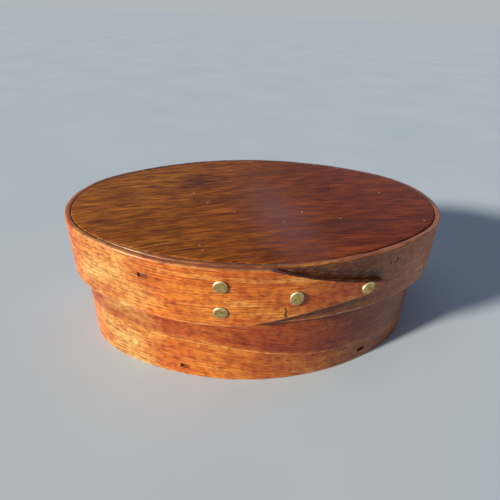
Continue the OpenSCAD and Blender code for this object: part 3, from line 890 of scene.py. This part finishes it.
def peg(name, node, deep, wide, high, tone, turned):
    """A whittled peg: a flat slip with rounded corners that tapers towards its inner end."""
    turn, offset, z = spot_of(node, turned)
    width, height = wide * PEG_W / 2, high * PEG_H / 2
    steps = [(deep * MM + depth, size) for depth, size in PEG_TAPER] + [(PEG_LEN, PEG_TIP_SIZE)]
    points = []
    for depth, size in steps:
        for i in range(PEG_SIDES):
            a = 2 * math.pi * (i + 0.5) / PEG_SIDES
            x = math.copysign(width - PEG_CORNER_R, math.cos(a)) + PEG_CORNER_R * math.cos(a)
            y = math.copysign(height - PEG_CORNER_R, math.sin(a)) + PEG_CORNER_R * math.sin(a)
            rough = 1 + WHITTLED * wander(i * 2.1, z * 900, turn * 9)
            points.append((x * size * rough, depth, y * size * rough))
    n, m = PEG_SIDES, len(steps)
    faces = [(n * j + i, n * j + (i + 1) % n, n * j + n + (i + 1) % n, n * j + n + i)
             for j in range(m - 1) for i in range(n)]
    faces += [tuple(range(n)), tuple(range(n * m - n, n * m))]
    return new_piece(name, on_band(turn, offset, z, turned, points), faces, PEG_TONES[tone], 30)


for i, (deep, wide, high, tone) in enumerate(BASE_PEGS):
    piece = peg(f"bottom_peg_{i + 1}", f"base_peg_{i + 1}", deep, wide, high, tone, BASE_TURN)
    fit(piece, "base", f"base_peg_{i + 1}")

# ---- Base tacks ----
# Four small brass tacks hold the lap at the back. They are driven through both layers from
# outside against an iron, which folds their points over on the inside.
HEAD_T, HEAD_BEVEL, SHANK_R = 0.7 * MM, 0.34 * MM, 0.65 * MM
CLINCH_LEN, CLINCH_GAP = 2.8 * MM, 0.1 * MM
TACK_SIDES = 32
# How far the crest of a head's bevel lies below its face
CREST_DROP = 0.13 * MM
# How unevenly the hammer left the heads, how far out of level and how far out of round
HAMMERED, TILTED, OUT_OF_ROUND = 0.09 * MM, 0.035, 0.035
# Width of the last half of a shank and of its point, as shares of the full width
FOLDED_TAPER, STRAIGHT_TAPER = (0.85, 0.35), (0.9, 0.3)
# For each head: its width and height in millimetres, and how it leans, in degrees
BASE_TACKS = [(4.5, 4.6, 20), (4.6, 4.4, 130), (4.4, 4.6, 250), (4.6, 4.5, 70)]


def aged_brass():
    """Brass tacks, hammered and handled for years: olive where tarnished, bright on the bevel
    where cloths and fingers rub. Metal, with soft broken reflections."""
    material, tree, out = new_material("aged_brass")
    place = add(tree, "TexCoord").outputs["Object"]
    worn = add(tree, "Attribute", attribute_name="worn").outputs["Fac"]
    patch = add(tree, "TexNoise", {"Vector": place, "Scale": 1 / (1.1 * MM), "Detail": 4.0})
    tint = add(tree, "ValToRGB", {"Fac": patch.outputs["Fac"]},
               ramp=[(0.34, "#9d8247"), (0.66, "#dfc486"), (0.5, "#c4a664")])
    colour = add(tree, "MixRGB", {
        "Fac": worn, "Color1": tint.outputs["Color"], "Color2": linear("#f2e8c6")}).outputs["Color"]
    dulled = add(tree, "MapRange", {"Value": patch.outputs["Fac"], "To Min": 0.62, "To Max": 0.3})
    felt = add(tree, "Bump", {
        "Height": patch.outputs["Fac"], "Strength": 0.5, "Distance": 0.06 * MM})
    brass = add(tree, "BsdfPrincipled", {
        "Base Color": colour, "Metallic": 1.0, "Roughness": dulled.outputs["Result"],
        "Normal": felt.outputs["Normal"]})
    tree.links.new(brass.outputs["BSDF"], out.inputs["Surface"])
    return material


TACK_BRASS = aged_brass()


def tack(name, node, width, height, lean, lap_t, folded, turned):
    """A tack in one piece: a flat hammered head, a round shank, and a point."""
    turn, offset, z = spot_of(node, turned)
    points, worn, n = [(0, -HEAD_T, 0)], [0], TACK_SIDES
    # Rings of the head: share of its half size, place outwards, wear
    bevel = HEAD_BEVEL / (width * MM / 2)
    rings = [(0.3, HEAD_T, 0), (0.6, HEAD_T, 0), (1 - bevel, HEAD_T, 0.1),
             (1 - 0.45 * bevel, HEAD_T - CREST_DROP, 1), (1, HEAD_T - HEAD_BEVEL, 0.6),
             (1, 0, 0)]
    for share, out, rub in rings:
        for i in range(n):
            a = 2 * math.pi * i / n
            ragged = 1 + OUT_OF_ROUND * wander(
                math.cos(a) * 1.6, math.sin(a) * 1.6, z * 1000 + turn * 7)
            x = share * ragged * width * MM / 2 * math.cos(a)
            y = share * ragged * height * MM / 2 * math.sin(a)
            sunk = 0
            if out > HEAD_T / 2:
                level = x * math.cos(math.radians(lean)) + y * math.sin(math.radians(lean))
                sunk = max(HAMMERED * wander(x * 650, y * 650, z * 700 + lean), 0)
                sunk += max(TILTED * level, 0)
            points.append((x, sunk - out, y))
            worn.append(rub * (0.55 + 0.45 * wander(a * 1.5, lean, 1.0)))
    # Path of the shank: inwards, then folded along the band, or straight on into the board
    inner = lap_t + CLINCH_GAP + SHANK_R
    path = [(0, 0, 1), (0, inner - SHANK_R, 1)]
    if folded:
        path += [(SHANK_R * (1 - math.cos(a)), inner - SHANK_R * (1 - math.sin(a)), 1)
                 for a in (math.radians(22.5 * i) for i in range(1, 5))]
        path += [(0.5 * CLINCH_LEN, inner, FOLDED_TAPER[0]), (CLINCH_LEN, inner, FOLDED_TAPER[1])]
    else:
        path += [(0, inner, STRAIGHT_TAPER[0]), (0, inner + CLINCH_LEN, STRAIGHT_TAPER[1])]
    for j, (x, y, size) in enumerate(path):
        ahead, behind = path[min(j + 1, len(path) - 1)], path[max(j - 1, 0)]
        way = Vector((ahead[0] - behind[0], ahead[1] - behind[1], 0)).normalized()
        across, up = Vector((way.y, -way.x, 0)), Vector((0, 0, 1))
        for i in range(n):
            a = 2 * math.pi * i / n
            points.append(tuple(
                Vector((x, y, 0)) + SHANK_R * size * (math.cos(a) * across + math.sin(a) * up)))
            worn.append(0.0)
    faces = [(0, 1 + i, 1 + (i + 1) % n) for i in range(n)]
    for j in range(len(rings) + len(path) - 1):
        at = 1 + n * j
        faces += [(at + i, at + (i + 1) % n, at + n + (i + 1) % n, at + n + i) for i in range(n)]
    faces.append(tuple(range(len(points) - n, len(points))))
    return new_piece(
        name, on_band(turn, offset - HEAD_T, z, turned, points), faces, TACK_BRASS, 50, worn=worn)


for i, (width, height, lean) in enumerate(BASE_TACKS):
    piece = tack(f"back_tack_{i + 1}", f"base_tack_{i + 1}", width, height, lean,
                 2 * BASE_BAND_T + LAP_GAP, True, BASE_TURN)
    fit(piece, "base", f"base_tack_{i + 1}")

# ---- Lid board ----
# The top of the box: a mahogany plank like the bottom one, with a few dark clouds in its
# grain and with pale nicks from use. It rests on the upper edge of the base band.
# For each cloud: its place and its reach in millimetres, and its colour. The last is a
# painted reflection: a faint purple sheen down the middle of the top.
LID_CLOUDS = [((-20, 22), (13, 10), "#3c1608"), ((-11, 3), (9, 4), "#52230f"),
              ((10, 27), (16, 4), "#4c200f"), ((30, -24), (22, 5), "#4c200f"),
              ((4, -14), (13, 40), "#744848")]
lid_board = board(
    "top_board", -LID_BAND_T - BOARD_GAP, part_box("lid_board")[0].z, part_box("lid_board")[1].z,
    varnished_mahogany("top_mahogany", -7.7, 0.8, LID_CLOUDS, 0.8))
fit(lid_board, "lid", "lid_board")

# ---- Lid band ----
# The same kind of strip as the base's, only lower and thicker. Its finger lies at the
# front. Varnish has pooled above the finger, which has a short crack below its middle.
LID_FINGER_RISE = 9.6 * MM
# How far the grain wanders up and down
LID_DRIFT = 1.6 * MM
lid_low, lid_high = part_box("lid_band")
lid_way = lengths(0)[2]
LID_CRACK = lid_way + 3.4 * MM, lid_way + 2.8 * MM, 33.6 * MM, 38.2 * MM


def lid_drift(way):
    """The grain of the lid wanders a little as it goes round."""
    return LID_DRIFT * wander(way * 18, 4.4, 0.3)


lid_band = band(
    "lid_side", 0, LID_BAND_T, lid_low.z, lid_high.z, LID_FINGER_RISE,
    [f"lid_peg_{i + 1}" for i in range(PEG_COUNT)], 0, lid_drift,
    varnished_maple("lid_side_maple", crack=LID_CRACK))
fit(lid_band, "lid", "lid_band")

# ---- Lid pegs ----
# Six more maple pegs, through the lid band into the top board. One has a pale end that
# nearly fills its slot and stands just proud, so that only the dark ends of the slot show.
LID_PEGS = [(0.35, 0.85, 1, "brown"), (-0.15, 0.84, 1.16, "pale"), (0.3, 0.9, 1, "brown"),
            (0.4, 0.85, 1, "dark"), (0.3, 0.9, 1, "brown"), (0.5, 0.85, 1, "brown")]
for i, (deep, wide, high, tone) in enumerate(LID_PEGS):
    piece = peg(f"top_peg_{i + 1}", f"lid_peg_{i + 1}", deep, wide, high, tone, 0)
    fit(piece, "lid", f"lid_peg_{i + 1}")

# ---- Lid tacks ----
# Four brass tacks hold the lid's lap. The upper one of the pair meets the edge of the board
# and goes straight in; the others have folded points. The last nearly fills the finger.
# For each: its width and height, how it leans, and whether its point is folded
LID_TACKS = [(4.5, 4.5, 160, False), (4.5, 4.3, 30, True), (4.4, 5.1, 200, True),
             (5.0, 4.4, 340, True)]
for i, (width, height, lean, folded) in enumerate(LID_TACKS):
    piece = tack(f"front_tack_{i + 1}", f"lid_tack_{i + 1}", width, height, lean,
                 2 * LID_BAND_T + LAP_GAP, folded, 0)
    fit(piece, "lid", f"lid_tack_{i + 1}")

# ---- Size of what is seen ----
# The box round the visual model.
low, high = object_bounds()
